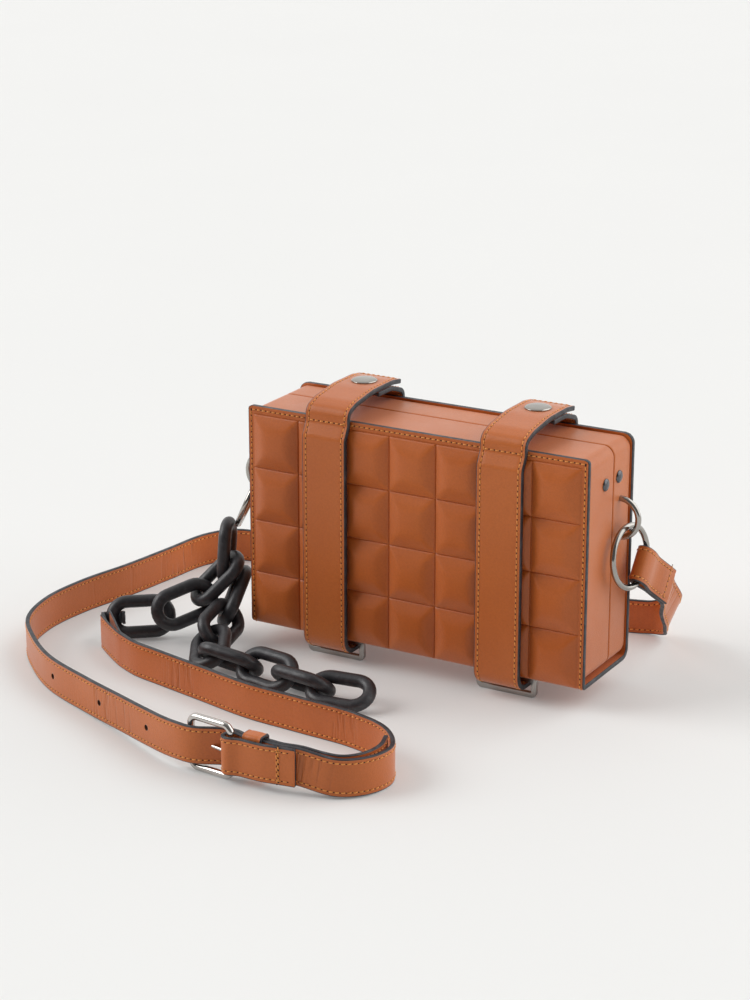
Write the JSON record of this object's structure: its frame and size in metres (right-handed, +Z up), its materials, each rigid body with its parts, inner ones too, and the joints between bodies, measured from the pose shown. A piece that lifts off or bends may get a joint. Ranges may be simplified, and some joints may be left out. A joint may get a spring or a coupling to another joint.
{
  "type": "box bag",
  "caption": "Small rectangular leather box bag with a quilted cover, snapped closing straps, a buckled shoulder strap and a black resin chain.",
  "frame": {"origin": "middle of the underside of the box", "axes": "+X towards the right side of the box, +Y from the quilted front to the back, +Z up"},
  "size_m": [0.3252, 0.2831, 0.1487],
  "materials": {
    "quilted_leather": "smooth tan calf leather, quilted in rectangular puffs",
    "leather": "smooth tan calf leather with dark painted edges",
    "dark_nickel": "dark polished nickel",
    "satin_steel": "satin steel",
    "black_resin": "matte black resin"
  },
  "bodies": {
    "root": {"quilted_cover": "quilted_leather", "front_shell": "leather", "back_shell": "leather", "closing_strap_left": "leather", "closing_strap_right": "leather", "strap_loop_front_left": "satin_steel", "strap_loop_front_right": "satin_steel", "strap_loop_back_left": "satin_steel", "strap_loop_back_right": "satin_steel", "snap_cap_left": "dark_nickel", "snap_cap_right": "dark_nickel", "snap_stud_left": "dark_nickel", "snap_stud_right": "dark_nickel", "rivet_left_front": "dark_nickel", "rivet_left_back": "dark_nickel", "rivet_right_front": "dark_nickel", "rivet_right_back": "dark_nickel", "bail_left": "dark_nickel", "bail_right": "dark_nickel", "round_ring_left": "dark_nickel", "round_ring_right": "dark_nickel", "shoulder_strap_long": "leather", "shoulder_strap_short": "leather", "buckle_frame": "dark_nickel", "buckle_prong": "dark_nickel", "strap_keeper": "leather", "strap_end_loop": "leather", "chain_link_01": "black_resin", "chain_link_02": "black_resin", "chain_link_03": "black_resin", "chain_link_04": "black_resin", "chain_link_05": "black_resin", "chain_link_06": "black_resin", "chain_link_07": "black_resin", "chain_link_08": "black_resin", "chain_link_09": "black_resin", "chain_link_10": "black_resin", "chain_link_11": "black_resin"}
  },
  "joints": []
}
